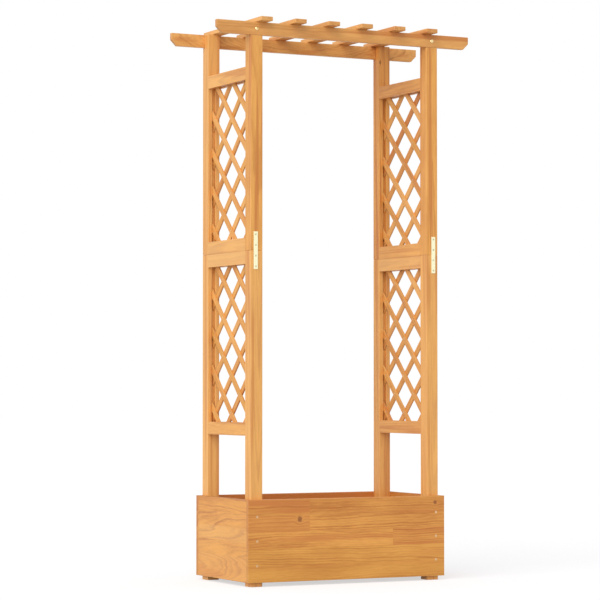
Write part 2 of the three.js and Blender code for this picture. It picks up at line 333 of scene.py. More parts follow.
def made_piece(name, bm, material):
    """Turns the bench work into an object of the scene."""
    mesh = bpy.data.meshes.new(name)
    bm.to_mesh(mesh)
    bm.free()
    mesh.materials.append(material)
    piece = bpy.data.objects.new(name, mesh)
    bpy.context.scene.collection.objects.link(piece)
    return piece


def mark_end_grain(mesh, along):
    """Marks the faces that are sawn across the fibres."""
    ends = [float(abs(face.normal.dot(AXES[along])) > 0.7) for face in mesh.polygons]
    mesh.attributes.new("end_grain", "FLOAT", "FACE").data.foreach_set("value", ends)


def saw_figure(piece, along, across, plank_at):
    """Gives each corner its place in the trunk: along it, and across and through it from the heart.
    plank_at gives the plank and its middle for a point of the piece, because a board may hold several."""
    mesh = piece.data
    through = ({"X", "Y", "Z"} - {along, across}).pop()
    axes = [AXES[along], AXES[across], AXES[through]]
    layers = {name: [] for name in ("trunk", "plank", "knot")}
    for face in mesh.polygons:
        cut, middle = plank_at(face.center)
        for vertex in face.vertices:
            point = mesh.vertices[vertex].co - middle
            run, side, deep = (point.dot(axis) for axis in axes)
            deep += cut["heart_through"] + cut["dive"] * run
            layers["trunk"].extend((run, side + cut["heart_across"], deep))
            layers["plank"].extend((cut["seed"], cut["tone"], cut["red"]))
            if cut["knot"]:
                knot_run, knot_side, knot_radius, drawn_out = cut["knot"]
                layers["knot"].extend(((run - knot_run) / drawn_out, side - knot_side, knot_radius))
            else:
                layers["knot"].extend((0.0, 0.0, 0.0))
    for name, values in layers.items():
        mesh.attributes.new(name, "FLOAT_VECTOR", "CORNER").data.foreach_set("vector", values)
    mark_end_grain(mesh, along)


def fix(piece, nodes):
    """The piece rides on the planter and hides these CAD nodes, whose place it takes."""
    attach(piece, "root")
    if nodes:
        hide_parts(*nodes)


def planed_timber(node, along, across, material, cut, ease=EDGE_EASE):
    """One length of planed timber in the place of its CAD node."""
    bm = whole_copy(node)
    ease_edges(bm, ease)
    piece = made_piece(f"{node}_timber", bm, material)
    low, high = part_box(node)
    middle = (low + high) / 2
    saw_figure(piece, along, across, lambda point: (cut, middle))
    fix(piece, [node])


post_fir = glazed_fir(
    "glazed fir of the posts", POST_PALE, POST_DEEP, POST_RING_WIDTH,
    contrast=0.6, streaks=60.0, streaked=0.7,
)
post_cuts = {
    "left_front_lower_post": {"seed": 0.07, "tone": 0.75, "red": 0.05},
    "left_front_upper_post": {"seed": 0.10, "tone": 0.45, "red": 0.1},
    "left_rear_lower_post": {"tone": 0.8, "red": 0.1},
    "left_rear_upper_post": {"tone": 0.8, "red": 0.0},
    "right_front_lower_post": {
        "seed": 0.11, "tone": 0.75, "red": 0.0,
        "heart_across": -0.0092, "heart_through": 0.0405, "dive": -0.0281,
    },
    "right_front_upper_post": {"seed": 0.04, "tone": 0.42, "red": 0.03},
    "right_rear_lower_post": {"tone": 0.7, "red": 0.1},
    "right_rear_upper_post": {"tone": 0.3, "red": 0.2, "knot": (0.336, -0.0178, 0.0034, 2.0)},
}
for post, cut in post_cuts.items():
    planed_timber(post, "Z", "X", post_fir, plank(post, **cut))


# ---------------------------------------------------------------------------------------------------
# Rails. Eight lengths of the same 45 mm fir, two to a trellis panel, with stub tenons in the grooves of
# the posts. Their grooved faces hold the lattice. They lie flush with the posts and have the same glaze.

RAIL_PALE = (0.85, 0.42, 0.105)
RAIL_DEEP = (0.54, 0.20, 0.038)
rail_fir = glazed_fir("glazed fir of the rails", RAIL_PALE, RAIL_DEEP, POST_RING_WIDTH, contrast=0.6)
rail_cuts = {
    "left_lower_bottom_rail": {"tone": 0.4, "red": 0.1},
    "left_lower_top_rail": {"tone": 0.95, "red": 0.1},
    "left_upper_bottom_rail": {"tone": 0.75, "red": 0.0},
    "left_upper_top_rail": {"tone": 0.7, "red": 0.1},
    "right_lower_bottom_rail": {"tone": 0.5, "red": 0.2},
    "right_lower_top_rail": {"tone": 0.9, "red": 0.1},
    "right_upper_bottom_rail": {"tone": 0.5, "red": 0.1},
    "right_upper_top_rail": {"tone": -0.3, "red": 0.3},
}
for rail, cut in rail_cuts.items():
    planed_timber(rail, "Y", "Z", rail_fir, plank(rail, **cut))


# ---------------------------------------------------------------------------------------------------
# Lattice. Two layers of thin glazed fir laths cross at right angles and are stapled at each crossing.
# Their ends are trimmed to the frame and sit in its grooves. In each panel the layer on the left climbs
# towards the back.

LATH_WIDTH = 0.021
LATH_THICKNESS = 0.006
LATH_PITCH = 0.1345
LATH_EASE = 0.0008
FIRST_DIAMOND = 0.046
SHORTEST_LATH = 0.060
GROOVE_SEAT = 0.0097
LATH_PALE = (0.84, 0.42, 0.11)
LATH_DEEP = (0.52, 0.195, 0.036)
LATH_RING_WIDTH = 0.004
LATH_HEARTS = ((-2.0, -0.015, 0.025), (2.0, 0.015, 0.06))
LATH_LOOKS = ((0.0, -0.6, -0.4), (1.0, 0.9, 0.7))
EIGHTH_TURN = math.pi / 4
HALF_ROOT = math.sqrt(0.5)


def eased_bar(name, size, radius):
    """The mesh of a bar with rounded edges, round its own middle."""
    bm = bmesh.new()
    bmesh.ops.create_cube(bm, size=1.0)
    bmesh.ops.scale(bm, vec=size, verts=bm.verts)
    ease_edges(bm, radius, shortest=0.002)
    bar = bpy.data.meshes.new(name)
    bm.to_mesh(bar)
    bm.free()
    return bar


def new_tree(name, sizes):
    """An empty Geometry Nodes tree with these named inputs."""
    tree = bpy.data.node_groups.new(name, "GeometryNodeTree")
    tree.interface.new_socket("Geometry", in_out="INPUT", socket_type="NodeSocketGeometry")
    for size, kind in sizes.items():
        tree.interface.new_socket(size, in_out="INPUT", socket_type=f"NodeSocket{kind}")
    tree.interface.new_socket("Geometry", in_out="OUTPUT", socket_type="NodeSocketGeometry")
    given = tree.nodes.new("NodeGroupInput").outputs
    return tree, given


def close_tree(tree, geometry, finish):
    """The last nodes of a tree: real geometry with its material."""
    real = add_node(tree, "GeometryNodeRealizeInstances", {"Geometry": geometry}).outputs[0]
    dressed = add_node(tree, "GeometryNodeSetMaterial", {"Geometry": real, "Material": finish}).outputs[0]
    add_node(tree, "NodeGroupOutput", {0: dressed})


def run_tree(name, tree, mesh, **sizes):
    """Runs a tree on a mesh and keeps what comes out as a plain object."""
    piece = bpy.data.objects.new(name, mesh)
    bpy.context.scene.collection.objects.link(piece)
    modifier = piece.modifiers.new("build", "NODES")
    modifier.node_group = tree
    for item in tree.interface.items_tree:
        key = item.name.replace(" ", "_").lower()
        if item.in_out == "INPUT" and key in sizes:
            modifier[item.identifier] = sizes[key]
    graph = bpy.context.evaluated_depsgraph_get()
    shaped = piece.evaluated_get(graph)
    result = bpy.data.meshes.new_from_object(shaped, preserve_all_data_layers=True, depsgraph=graph)
    piece.modifiers.clear()
    piece.data = result
    result.name = name
    return piece


def store(tree, geometry, name, value):
    """Keeps three numbers on each corner of the geometry under a name."""
    kept = add_node(tree, "GeometryNodeStoreNamedAttribute", {
        "Geometry": geometry, "Name": name, "Value": value,
    }, data_type="FLOAT_VECTOR", domain="CORNER")
    return kept.outputs[0]


def draw_numbers(tree, limits, copy, seed):
    """Three random numbers within limits for each copy."""
    draw = add_node(tree, "FunctionNodeRandomValue", dict(enumerate(limits)), data_type="FLOAT_VECTOR")
    tree.links.new(copy, draw.inputs["ID"])
    tree.links.new(seed, draw.inputs["Seed"])
    return draw.outputs[0]


def point_places(tree):
    """The x, y and z of each point."""
    return add_node(tree, "ShaderNodeSeparateXYZ", {
        0: add_node(tree, "GeometryNodeInputPosition").outputs[0],
    }).outputs


def is_short(tree, given, height):
    """Whether a lath that crosses the upright middle line of the panel at height is too short to use."""
    half_width = given["Half Width"]
    half_height = given["Half Height"]
    to_side = reckon(tree, "MULTIPLY", half_width, -1.0)
    to_bottom = reckon(tree, "MULTIPLY", half_height, -1.0)
    highest = reckon(tree, "MINIMUM", half_width, reckon(tree, "SUBTRACT", half_height, height))
    lowest = reckon(tree, "MAXIMUM", to_side, reckon(tree, "SUBTRACT", to_bottom, height))
    run = reckon(tree, "DIVIDE", reckon(tree, "SUBTRACT", highest, lowest), HALF_ROOT)
    return reckon(tree, "LESS_THAN", run, given["Shortest"])


def drop_points(tree, points, dropped):
    """The points without the dropped ones."""
    feeds = {"Geometry": points, "Selection": dropped}
    return add_node(tree, "GeometryNodeDeleteGeometry", feeds, domain="POINT").outputs[0]


def moved(tree, geometry, way):
    """The geometry moved by this much."""
    return add_node(tree, "GeometryNodeTransform", {"Geometry": geometry, "Translation": way}).outputs[0]


def lath_middles(tree, given):
    """A point on the upright middle line of the panel for each lath of one layer."""
    start = add_node(tree, "ShaderNodeCombineXYZ", {2: given["First Lath"]})
    step = add_node(tree, "ShaderNodeCombineXYZ", {2: given["Pitch"]})
    row = add_node(tree, "GeometryNodeMeshLine", {
        "Count": given["Laths"], "Start Location": start.outputs[0], "Offset": step.outputs[0],
    })
    return drop_points(tree, row.outputs[0], is_short(tree, given, point_places(tree)[2]))


PANEL_SIZES = {
    "Pitch": "Float", "First Lath": "Float", "Laths": "Int", "Half Width": "Float", "Half Height": "Float",
    "Shortest": "Float", "Middle": "Vector", "Finish": "Material",
}


def crossed_laths():
    """Lays copies of a long lath in two crossing layers and trims them to the frame."""
    tree, given = new_tree("crossed laths", {**PANEL_SIZES, "Layer Offset": "Float", "Seed": "Int"})
    width = reckon(tree, "MULTIPLY", given["Half Width"], 2.0)
    height = reckon(tree, "MULTIPLY", given["Half Height"], 2.0)
    trim_size = add_node(tree, "ShaderNodeCombineXYZ", {0: 1.0, 1: width, 2: height})
    trim = add_node(tree, "GeometryNodeMeshCube", {"Size": trim_size.outputs[0]})
    middles = lath_middles(tree, given)
    spot = point_places(tree)
    both = add_node(tree, "GeometryNodeJoinGeometry")

    # One layer climbs to the back and the other falls, and they number their laths apart
    for climb, first_copy in ((1, 50.0), (-1, 10.0)):
        laid = add_node(tree, "GeometryNodeInstanceOnPoints", {
            "Points": middles, "Instance": given["Geometry"], "Rotation": (climb * EIGHTH_TURN, 0.0, 0.0),
        })
        real = add_node(tree, "GeometryNodeRealizeInstances", {"Geometry": laid.outputs[0]})
        trimmed = add_node(tree, "GeometryNodeMeshBoolean", operation="INTERSECT", solver="EXACT")
        tree.links.new(real.outputs[0], trimmed.inputs["Mesh 2"])
        tree.links.new(trim.outputs["Mesh"], trimmed.inputs["Mesh 2"])

        # Where each point lies on its own lath
        diagonal = reckon(tree, "MULTIPLY_ADD", spot[1], -climb, spot[2])
        above_first = reckon(tree, "SUBTRACT", diagonal, given["First Lath"])
        rows_up = reckon(tree, "DIVIDE", above_first, given["Pitch"])
        row = reckon(tree, "ROUND", rows_up)
        off_line = reckon(tree, "MULTIPLY", reckon(tree, "SUBTRACT", rows_up, row), given["Pitch"])
        on_lath = add_node(tree, "ShaderNodeCombineXYZ", {
            0: reckon(tree, "MULTIPLY", reckon(tree, "MULTIPLY_ADD", spot[2], climb, spot[1]), HALF_ROOT),
            1: reckon(tree, "MULTIPLY", off_line, HALF_ROOT),
            2: spot[0],
        })
        copy = reckon(tree, "ADD", row, first_copy)
        heart = draw_numbers(tree, LATH_HEARTS, copy, given["Seed"])
        in_trunk = add_node(tree, "ShaderNodeVectorMath", {0: on_lath.outputs[0], 1: heart})
        look = draw_numbers(tree, LATH_LOOKS, copy, given["Seed"])
        sawn = store(tree, trimmed.outputs["Mesh"], "trunk", in_trunk.outputs[0])
        sawn = store(tree, sawn, "plank", look)
        aside = reckon(tree, "MULTIPLY", given["Layer Offset"], -climb)
        shift = add_node(tree, "ShaderNodeCombineXYZ", {0: aside}).outputs[0]
        tree.links.new(moved(tree, sawn, shift), both.inputs[0])
    close_tree(tree, moved(tree, both.outputs[0], given["Middle"]), given["Finish"])
    return tree


def staples_at_crossings():
    """Sets copies of a staple where the two layers of laths cross, clear of the frame."""
    tree, given = new_tree("staples at crossings", {**PANEL_SIZES, "Crossings": "Int", "Margin": "Float"})
    half_pitch = reckon(tree, "MULTIPLY", given["Pitch"], 0.5)
    start = reckon(tree, "MULTIPLY", reckon(tree, "MULTIPLY", given["Crossings"], -1.0), half_pitch)
    count = reckon(tree, "MULTIPLY_ADD", given["Crossings"], 2.0, 1.0)
    along = add_node(tree, "GeometryNodeMeshLine", {
        "Count": count,
        "Start Location": add_node(tree, "ShaderNodeCombineXYZ", {1: start, 2: start}).outputs[0],
        "Offset": add_node(tree, "ShaderNodeCombineXYZ", {1: half_pitch, 2: half_pitch}).outputs[0],
    })
    spread = add_node(tree, "GeometryNodeInstanceOnPoints", {
        "Points": lath_middles(tree, given), "Instance": along.outputs[0],
    })
    crossings = add_node(tree, "GeometryNodeRealizeInstances", {"Geometry": spread.outputs[0]}).outputs[0]
    spot = point_places(tree)
    crossing_lath = reckon(tree, "ADD", spot[1], spot[2])
    crossings = drop_points(tree, crossings, is_short(tree, given, crossing_lath))
    for way, half in ((spot[1], given["Half Width"]), (spot[2], given["Half Height"])):
        limit = reckon(tree, "SUBTRACT", half, given["Margin"])
        outside = reckon(tree, "GREATER_THAN", reckon(tree, "ABSOLUTE", way), limit)
        crossings = drop_points(tree, crossings, outside)
    set_in = add_node(tree, "GeometryNodeInstanceOnPoints", {
        "Points": crossings, "Instance": given["Geometry"], "Rotation": (EIGHTH_TURN, 0.0, 0.0),
    })
    close_tree(tree, moved(tree, set_in.outputs[0], given["Middle"]), given["Finish"])
    return tree


BRUSH_LINES = {"Scale": 2600.0, "Detail": 2.0}
CLOUDS = {"Scale": 140.0, "Detail": 3.0}
METAL_RELIEF = 0.2
METAL_RELIEF_DEPTH = 0.0001


def face_of_metal():
    """The face of worn metal: brush lines up and down, and clouds where it has dulled."""
    takes = {"Pale": "Color", "Deep": "Color", "Roughness": "Float"}
    tree, given, result = new_effect("face of worn metal", takes, SURFACE)
    place = add_node(tree, "ShaderNodeTexCoord").outputs["Object"]
    drawn = add_node(tree, "ShaderNodeMapping", {"Vector": place, "Scale": (1.0, 1.0, 0.08)}).outputs[0]
    brushed = add_node(tree, "ShaderNodeTexNoise", {"Vector": drawn, **BRUSH_LINES}).outputs["Fac"]
    cloudy = add_node(tree, "ShaderNodeTexNoise", {"Vector": place, **CLOUDS}).outputs["Fac"]
    colour = blend_colour(tree, ramp(tree, cloudy, 0.35, 0.7), given["Pale"], given["Deep"])
    tree.links.new(colour, result["Colour"])
    dulled = reckon(tree, "ADD", centred(tree, brushed, 0.1), centred(tree, cloudy, 0.2))
    tree.links.new(reckon(tree, "ADD", given["Roughness"], dulled), result["Roughness"])
    tree.links.new(brushed, result["Relief"])
    return tree


metal_face = face_of_metal()


def worn_metal(name, pale, deep, roughness):
    """A material of metal with a brushed, slightly clouded surface."""
    material = bpy.data.materials.new(name)
    material.use_nodes = True
    tree = material.node_tree
    face = add_node(tree, "ShaderNodeGroup", {
        "Pale": (*pale, 1.0), "Deep": (*deep, 1.0), "Roughness": roughness,
    }, node_tree=metal_face)
    shader = dress_shader(tree, face.outputs, METAL_RELIEF, METAL_RELIEF_DEPTH)
    shader.inputs["Metallic"].default_value = 1.0
    return material


def bent_wire(name, bends, radius):
    """The mesh of a piece of round wire that goes through bends."""
    curve = bpy.data.curves.new(name, "CURVE")
    curve.dimensions = "3D"
    curve.bevel_depth = radius
    curve.bevel_resolution = 2
    path = curve.splines.new("POLY")
    path.points.add(len(bends) - 1)
    for point, bend in zip(path.points, bends):
        point.co = (*bend, 1.0)
    wire = bpy.data.objects.new(name, curve)
    mesh = bpy.data.meshes.new_from_object(wire)
    bpy.data.objects.remove(wire)
    return mesh


STAPLE_WIDTH = 0.006
STAPLE_LEG = 0.005
STAPLE_WIRE_RADIUS = 0.0005
STAPLE_CORNER = 0.0006
STAPLE_MARGIN = 0.022
STEEL_PALE = (0.70, 0.70, 0.70)
STEEL_DEEP = (0.50, 0.50, 0.50)
lath_fir = glazed_fir(
    "glazed fir of the laths", LATH_PALE, LATH_DEEP, LATH_RING_WIDTH, streaked=0.45, roughness=0.58,
)
staple_steel = worn_metal("staple wire", STEEL_PALE, STEEL_DEEP, 0.34)
laths_tree = crossed_laths()
staples_tree = staples_at_crossings()
for number, panel in enumerate(("left_lower", "left_upper", "right_lower", "right_upper")):
    node = f"{panel}_lattice"
    low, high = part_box(node)
    half_width = (high.y - low.y) / 2
    half_height = (high.z - low.z) / 2
    first_crossing = half_height - GROOVE_SEAT - FIRST_DIAMOND - LATH_PITCH / 2
    below = math.ceil((first_crossing + half_height + half_width) / LATH_PITCH)
    panel_sizes = {
        "pitch": LATH_PITCH, "first_lath": first_crossing - below * LATH_PITCH, "laths": 2 * below,
        "half_width": half_width, "half_height": half_height, "shortest": SHORTEST_LATH,
        "middle": (low + high) / 2,
    }
    longest = 2 * (half_height + half_width)
    blank = eased_bar("lath blank", (LATH_THICKNESS, longest, LATH_WIDTH), LATH_EASE)
    laths = run_tree(
        f"{node}_laths", laths_tree, blank, finish=lath_fir, seed=number, layer_offset=LATH_THICKNESS / 2,
        **panel_sizes,
    )
    fix(laths, [node])
    half_crown = STAPLE_WIDTH / 2
    inner_crown = half_crown - STAPLE_CORNER
    surface = -LATH_THICKNESS
    wire = bent_wire("staple", [
        (surface + STAPLE_LEG, -half_crown, 0), (surface + STAPLE_CORNER, -half_crown, 0),
        (surface, -inner_crown, 0), (surface, inner_crown, 0),
        (surface + STAPLE_CORNER, half_crown, 0), (surface + STAPLE_LEG, half_crown, 0),
    ], STAPLE_WIRE_RADIUS)
    staples = run_tree(
        f"{node}_staples", staples_tree, wire, finish=staple_steel, margin=STAPLE_MARGIN,
        crossings=math.ceil(half_width / LATH_PITCH * 2), **panel_sizes,
    )
    fix(staples, [])


# ---------------------------------------------------------------------------------------------------
# Mending plates. A stamped brass strip lies over the joint between the two lengths of each post, held
# by four small raised-head screws of duller brass. Its edges are tumbled and it has been lacquered.

PLATE_EASE = 0.0004
PLATE_SHORTEST_EDGE = 0.0018
PLATE_HOLES = (-0.0555, -0.0185, 0.0185, 0.0555)
PLATE_SCREW_PROUD = 0.0009
PLATE_SCREW_HEAD = (0.0036, 0.0018)
PLATE_SCREW_SHANK = (0.0017, 0.020)
PLATE_SCREW_RECESS = (0.0042, 0.0011, 0.0012)
SCREW_POINT = 0.005
TURNED_SIDES = 28
CRISP_BEND = math.radians(25)
BRASS_PALE = (0.98, 0.955, 0.66)
BRASS_DEEP = (0.96, 0.92, 0.60)
HANDLED_PALE = (0.74, 0.70, 0.46)
HANDLED_DEEP = (0.56, 0.52, 0.33)


def turned(name, outline, material):
    """A body turned on a lathe. The outline goes from the middle of the top down to the tip."""
    bm = bmesh.new()
    profile = [bm.verts.new((radius, 0, height)) for radius, height in outline]
    edges = [bm.edges.new(pair) for pair in zip(profile, profile[1:])]
    bmesh.ops.spin(
        bm, geom=profile + edges, cent=(0, 0, 0), axis=(0, 0, 1), angle=math.tau, steps=TURNED_SIDES,
        use_merge=True,
    )
    bmesh.ops.remove_doubles(bm, verts=bm.verts, dist=1e-6)
    bmesh.ops.recalc_face_normals(bm, faces=bm.faces)
    for face in bm.faces:
        face.smooth = True
    return made_piece(name, bm, material)


def countersunk_outline(head, shank, proud=0.0):
    """From the top of the head to the tip. head is its radius and depth, and shank is its radius and the
    length of the screw. A proud head is slightly domed."""
    head_radius, head_depth = head
    shank_radius, length = shank
    dome_steps = 4 if proud else 1
    outline = []
    for step in range(dome_steps + 1):
        share = step / dome_steps
        outline.append((head_radius * share, -proud * share * share))
    outline.append((shank_radius, -proud - head_depth))
    outline.append((shank_radius, SCREW_POINT - length))
    outline.append((0.0, -length))
    return outline


def cut_out(tree, body, tools):
    """The body with these tools cut out of it."""
    cut = add_node(
        tree, "GeometryNodeMeshBoolean", {"Mesh 1": body}, operation="DIFFERENCE", solver="EXACT",
    )
    for tool in tools:
        tree.links.new(tool, cut.inputs["Mesh 2"])
    return cut.outputs["Mesh"]


def driven_screws():
    """Cuts a cross recess into a turned screw and drives one at each point, against its outward way."""
    tree, given = new_tree("driven screws", {
        "Screw": "Object", "Recess Length": "Float", "Recess Width": "Float", "Recess Depth": "Float",
        "Seed": "Int", "Finish": "Material",
    })
    body = add_node(tree, "GeometryNodeObjectInfo", {"Object": given["Screw"]}).outputs["Geometry"]
    reach = reckon(tree, "MULTIPLY", given["Recess Depth"], 2.0)
    bars = []
    for turn in (0.0, math.pi / 2):
        size = add_node(tree, "ShaderNodeCombineXYZ", {
            0: given["Recess Length"], 1: given["Recess Width"], 2: reach,
        })
        bar = add_node(tree, "GeometryNodeMeshCube", {"Size": size.outputs[0]}).outputs["Mesh"]
        turned_bar = add_node(tree, "GeometryNodeTransform", {"Geometry": bar, "Rotation": (0, 0, turn)})
        bars.append(turned_bar.outputs[0])
    recessed = cut_out(tree, body, bars)
    smooth = add_node(tree, "GeometryNodeSetShadeSmooth", {"Geometry": recessed})
    bend = add_node(tree, "GeometryNodeInputMeshEdgeAngle").outputs["Unsigned Angle"]
    crisp = reckon(tree, "GREATER_THAN", bend, CRISP_BEND)
    finished = add_node(tree, "GeometryNodeSetShadeSmooth", {
        "Geometry": smooth.outputs[0], "Selection": crisp, "Shade Smooth": False,
    }, domain="EDGE")

    # Each screw faces its own way and stops at its own turn
    outward = add_node(
        tree, "GeometryNodeInputNamedAttribute", {"Name": "outward"}, data_type="FLOAT_VECTOR",
    ).outputs[0]
    facing = add_node(tree, "FunctionNodeAlignRotationToVector", {"Vector": outward}, axis="Z")
    draw = add_node(tree, "FunctionNodeRandomValue", {2: 0.0, 3: math.pi}, data_type="FLOAT")
    tree.links.new(given["Seed"], draw.inputs["Seed"])
    spin = add_node(tree, "ShaderNodeCombineXYZ", {2: draw.outputs[1]})
    turn = add_node(tree, "FunctionNodeEulerToRotation", {0: spin.outputs[0]})
    driven = add_node(tree, "FunctionNodeRotateRotation", {
        0: facing.outputs[0], 1: turn.outputs[0],
    }, rotation_space="LOCAL")
    copies = add_node(tree, "GeometryNodeInstanceOnPoints", {
        "Points": given["Geometry"], "Instance": finished.outputs[0], "Rotation": driven.outputs[0],
    })
    close_tree(tree, copies.outputs[0], given["Finish"])
    return tree


screws_tree = driven_screws()


def drive_screws(name, outline, places, recess, metal, nodes=()):
    """Screws with this outline at places, which are pairs of the head's top and its outward way. recess is
    the length, width and depth of the cross in the head."""
    points = bpy.data.meshes.new(name)
    points.from_pydata([place for place, outward in places], [], [])
    ways = points.attributes.new("outward", "FLOAT_VECTOR", "POINT")
    ways.data.foreach_set("vector", [number for place, outward in places for number in outward])
    pattern = turned("screw pattern", outline, metal)
    recess_length, recess_width, recess_depth = recess
    screws = run_tree(
        name, screws_tree, points, screw=pattern, recess_length=recess_length, recess_width=recess_width,
        recess_depth=recess_depth, seed=len(places), finish=metal,
    )
    bpy.data.objects.remove(pattern)
    fix(screws, nodes)


def outer_face(node, outward):
    """The middle of the face of a CAD node that looks outward, to the front or the back, and its depth."""
    low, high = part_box(node)
    depth = high.y - low.y
    return (low + high) / 2 + outward * depth / 2, depth


FRONT_AND_REAR = (("front", -AXES["Y"]), ("rear", AXES["Y"]))
brass = worn_metal("lacquered brass", BRASS_PALE, BRASS_DEEP, 0.34)
handled_brass = worn_metal("brass dulled by handling", HANDLED_PALE, HANDLED_DEEP, 0.38)
plate_screw_places = []
for side in ("left", "right"):
    for end, outward in FRONT_AND_REAR:
        node = f"{side}_{end}_plate"
        bm = whole_copy(node)
        ease_edges(bm, PLATE_EASE, PLATE_SHORTEST_EDGE)
        fix(made_piece(f"{node}_strip", bm, brass), [node])
        head_top = outer_face(node, outward)[0] + outward * PLATE_SCREW_PROUD
        for hole in PLATE_HOLES:
            plate_screw_places.append((head_top + AXES["Z"] * hole, outward))
plate_screw_outline = countersunk_outline(PLATE_SCREW_HEAD, PLATE_SCREW_SHANK, PLATE_SCREW_PROUD)
drive_screws(
    "plate_screws", plate_screw_outline, plate_screw_places, PLATE_SCREW_RECESS, handled_brass,
)


# ---------------------------------------------------------------------------------------------------
# Trough. Long boards at the front and back and end boards between them, each glued up from five staves
# of fir, planed and glazed. The staves differ in figure and in how much glaze they took.

BOARD_EASE = 0.0014
JOINT_EASE = 0.0004
LONG_EDGE = 0.3
FRONT_SEAMS = (0.072, 0.130, 0.187, 0.244)
END_SEAMS = (0.098, 0.150, 0.200, 0.250)
BOARD_PALE = (0.80, 0.372, 0.079)
BOARD_DEEP = (0.455, 0.145, 0.020)
BOARD_RING_WIDTH = 0.0075
FRONT_JOINTS = ((2, 0.1785), (3, -0.1515), (4, -0.1515))
REAR_JOINTS = ((0, 0.09), (2, -0.21), (3, 0.16))


def glued_board(node, along, material, seams, stave_cuts, joints=()):
    """A board of staves that lie one on another between seams. joints are pairs of a stave's number and
    the place along it where two lengths meet."""
    low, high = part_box(node)
    middle = (low + high) / 2
    heights = [low.z, *seams, high.z]
    bm = whole_copy(node)
    ease_edges(bm, BOARD_EASE, shortest=LONG_EDGE)
    ease_edges(bm, JOINT_EASE)
    for seam in seams:
        everything = bm.verts[:] + bm.edges[:] + bm.faces[:]
        bmesh.ops.bisect_plane(bm, geom=everything, plane_co=(0, 0, seam), plane_no=(0, 0, 1), dist=1e-7)

    def stave_at(point):
        """The number of the stave at a point, counted from below."""
        return sum(1 for seam in seams if point.z > seam)

    for stave, joint in joints:
        faces = [face for face in bm.faces if stave_at(face.calc_center_median()) == stave]
        edges = {edge for face in faces for edge in face.edges}
        verts = {vert for face in faces for vert in face.verts}
        whole_stave = [*verts, *edges, *faces]
        place = AXES[along] * joint
        bmesh.ops.bisect_plane(bm, geom=whole_stave, plane_co=place, plane_no=AXES[along], dist=1e-7)

    def plank_at(point):
        """The plank that the stave at a point was sawn from, and that stave's middle."""
        stave = stave_at(point)
        length = sum(1 for number, joint in joints if number == stave and point.dot(AXES[along]) > joint)
        centre = Vector((middle.x, middle.y, (heights[stave] + heights[stave + 1]) / 2))
        return plank(f"{node} {stave} {length}", **stave_cuts.get((stave, length), {})), centre

    piece = made_piece(f"{node}_staves", bm, material)
    saw_figure(piece, along, "Z", plank_at)
    fix(piece, [node])


board_fir = glazed_fir(
    "glazed fir of the boards", BOARD_PALE, BOARD_DEEP, BOARD_RING_WIDTH, contrast=0.68, sway=0.014,
    ripple=0.011, streaks=22.0, streaked=0.55,
)
front_staves = {
    (0, 0): {"tone": -0.05, "red": -0.5, "heart_across": -0.05, "heart_through": 0.05},
    (1, 0): {"tone": 0.2, "red": -0.4, "heart_across": 0.06, "heart_through": 0.04},
    (2, 0): {"tone": 0.0, "red": 0.1, "heart_across": -0.06, "heart_through": 0.04},
    (2, 1): {"tone": -0.35, "red": 0.5, "heart_across": 0.08, "heart_through": 0.04},
    (3, 0): {"tone": -0.1, "red": 0.8, "heart_across": 0.06, "knot": (-0.1900, 0.0138, 0.0088, 0.9)},
    (3, 1): {"tone": -0.1, "red": 0.1, "heart_across": -0.05, "heart_through": 0.045},
    (4, 0): {"tone": -0.1, "red": 0.4, "heart_across": 0.06},
    (4, 1): {"tone": -1.0, "red": 0.25, "heart_across": 0.07, "knot": (0.350, 0.005, 0.0065, 0.9)},
}
glued_board("front_board", "X", board_fir, FRONT_SEAMS, front_staves, FRONT_JOINTS)
glued_board("rear_board", "X", board_fir, FRONT_SEAMS, {}, REAR_JOINTS)
end_staves = {
    (0, 0): {"tone": 0.6, "red": -0.1, "heart_across": -0.002, "heart_through": 0.062, "dive": -0.13},
    (1, 0): {"tone": 0.5, "red": -0.2, "heart_across": 0.03, "heart_through": 0.06, "dive": 0.06},
    (2, 0): {"tone": 0.7, "red": -0.2, "heart_across": -0.022, "heart_through": 0.06, "dive": -0.05},
    (3, 0): {"tone": 0.45, "red": -0.1, "heart_across": 0.026, "heart_through": 0.06, "dive": 0.05},
    (4, 0): {"tone": 0.3, "red": 0.2, "heart_across": -0.03, "heart_through": 0.06},
}
glued_board("left_end_board", "Y", board_fir, END_SEAMS, end_staves)
glued_board("right_end_board", "Y", board_fir, END_SEAMS, {})


# ---------------------------------------------------------------------------------------------------
# Floor of the trough. Two ledgers run along the insides of the long boards and carry six loose slats, all
# of sawn fir with a single thin coat. The outer slats are notched round the posts.

INNER_PALE = (0.80, 0.47, 0.18)
INNER_DEEP = (0.55, 0.27, 0.08)
INNER_RING_WIDTH = 0.0055
inner_fir = glazed_fir(
    "thinly glazed fir of the floor", INNER_PALE, INNER_DEEP, INNER_RING_WIDTH, roughness=0.66,
)
for ledger in ("front_ledger", "rear_ledger"):
    planed_timber(ledger, "X", "Z", inner_fir, plank(ledger))
for number in range(1, 7):
    slat = f"floor_slat_{number}"
    planed_timber(slat, "Y", "X", inner_fir, plank(slat))


# ---------------------------------------------------------------------------------------------------
# Board screws. Three countersunk wood screws of yellow zinc-plated steel at each end of the long boards
# pull them up against the posts, with the heads level with the wood.

